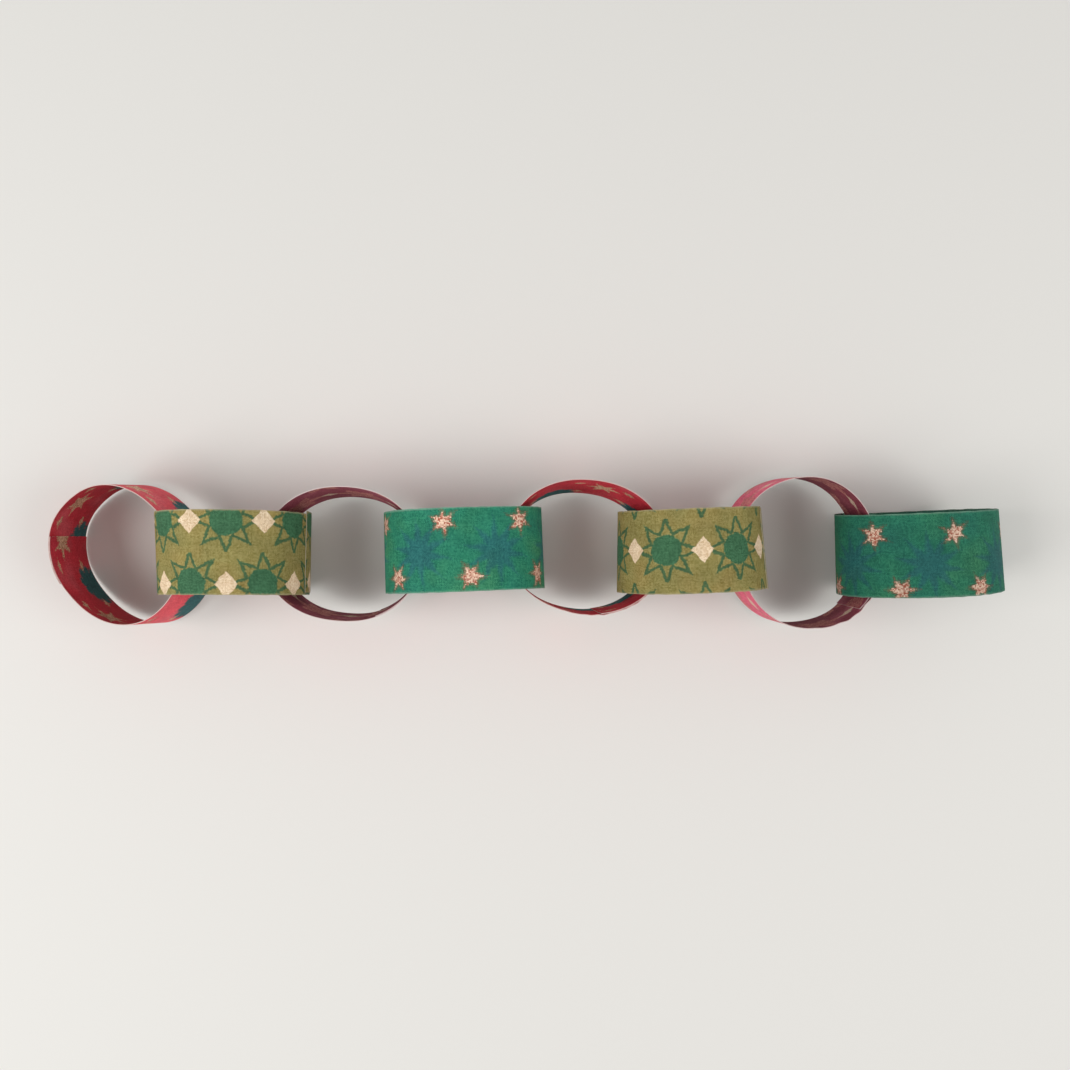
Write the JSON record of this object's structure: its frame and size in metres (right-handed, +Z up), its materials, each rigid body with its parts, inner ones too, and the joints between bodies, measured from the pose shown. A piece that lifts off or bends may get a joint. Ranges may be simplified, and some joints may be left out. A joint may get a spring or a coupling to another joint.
{
  "type": "paper chain garland",
  "caption": "Paper chain garland of interlinked loops of printed craft paper in coral, olive, magenta and green, lying along a table.",
  "frame": {"origin": "centre of the footprint on the surface that the chain lies on", "axes": "+X along the chain, from the coral end link to the green end link; +Z up, away from the surface; +Y across the chain"},
  "size_m": [0.4248, 0.0686, 0.0625],
  "materials": {
    "coral_paper": "printed cotton craft paper with a woven emboss and broken pale gold motifs",
    "olive_paper": "printed cotton craft paper with a woven emboss and green and cream patchwork",
    "magenta_paper": "printed cotton craft paper with a woven emboss and broken copper motifs",
    "green_paper": "printed cotton craft paper with a woven emboss and teal and copper motifs"
  },
  "bodies": {
    "root": {"link_1_coral": "coral_paper", "link_2_olive": "olive_paper", "link_3_magenta": "magenta_paper", "link_4_green": "green_paper", "link_5_coral": "coral_paper", "link_6_olive": "olive_paper", "link_7_magenta": "magenta_paper", "link_8_green": "green_paper"}
  },
  "joints": []
}
